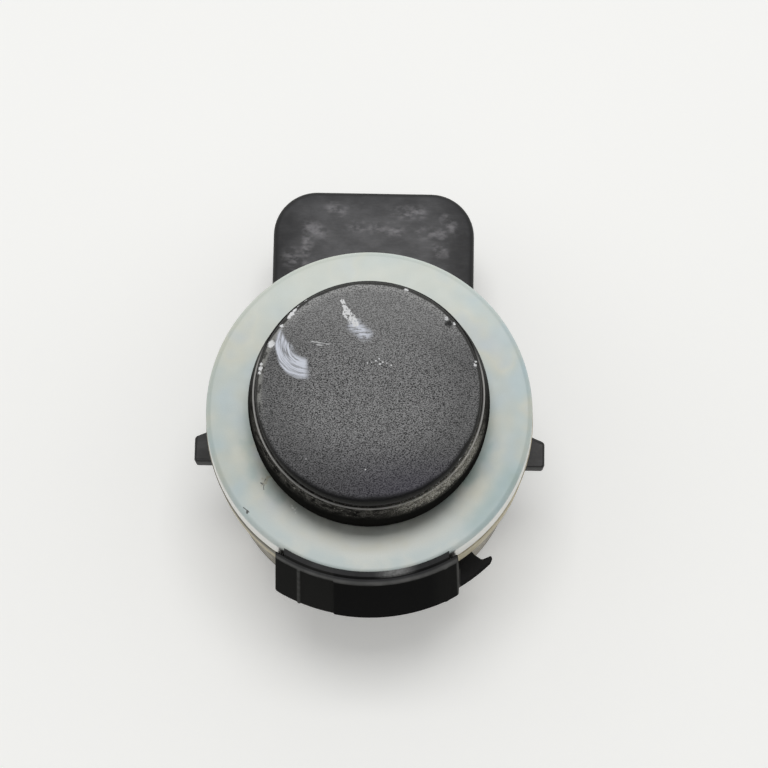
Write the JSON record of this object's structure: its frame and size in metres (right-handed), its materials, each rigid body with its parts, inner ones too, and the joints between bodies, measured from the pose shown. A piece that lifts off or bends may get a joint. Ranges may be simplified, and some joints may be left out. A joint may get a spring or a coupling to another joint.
{
  "type": "parking sensor",
  "caption": "Round ultrasonic parking sensor: painted membrane in a rubber sleeve, plated steel ring, black plastic body with side lugs, front clip and a plug socket facing rearward.",
  "frame": {"origin": "on the membrane's axis, in the plane of the potted rear face that the sensor stands on", "axes": "+Z along the membrane's axis out of the painted face, +Y towards the plug socket, -Y towards the front clip"},
  "size_m": [0.0238, 0.0307, 0.0283],
  "materials": {
    "housing_plastic": "matte moulded, scuffed",
    "seal_rubber": "satin",
    "sleeve_rubber": "matte, dusty",
    "painted_cup": "dark grey paint, scratched and chipped",
    "plated_steel": "zinc plated, satin, faintly iridescent",
    "piezo": "silvered",
    "damping_foam": "matte",
    "lead_red": "enamelled",
    "lead_black": "enamelled",
    "board": "solder mask",
    "ferrite": "matte",
    "copper": "enamelled wire",
    "chip": "matte",
    "capacitor": "satin",
    "ceramic": "satin",
    "terminal": "tin plated",
    "potting_resin": "cast, semi-gloss"
  },
  "bodies": {
    "root": {"housing": "housing_plastic", "seal_ring": "seal_rubber", "decoupling_sleeve": "sleeve_rubber", "membrane_cup": "painted_cup", "steel_ring": "plated_steel", "piezo_disc": "piezo", "damping_plug": "damping_foam", "lead_live": "lead_red", "lead_ground": "lead_black", "circuit_board": "board", "transformer_core": "ferrite", "transformer_winding": "copper", "driver_chip": "chip", "storage_capacitor": "capacitor", "protection_diode": "chip", "ceramic_capacitors": "ceramic", "resistors": "chip", "terminal_supply": "terminal", "terminal_signal": "terminal", "terminal_ground": "terminal", "potting": "potting_resin"}
  },
  "joints": []
}
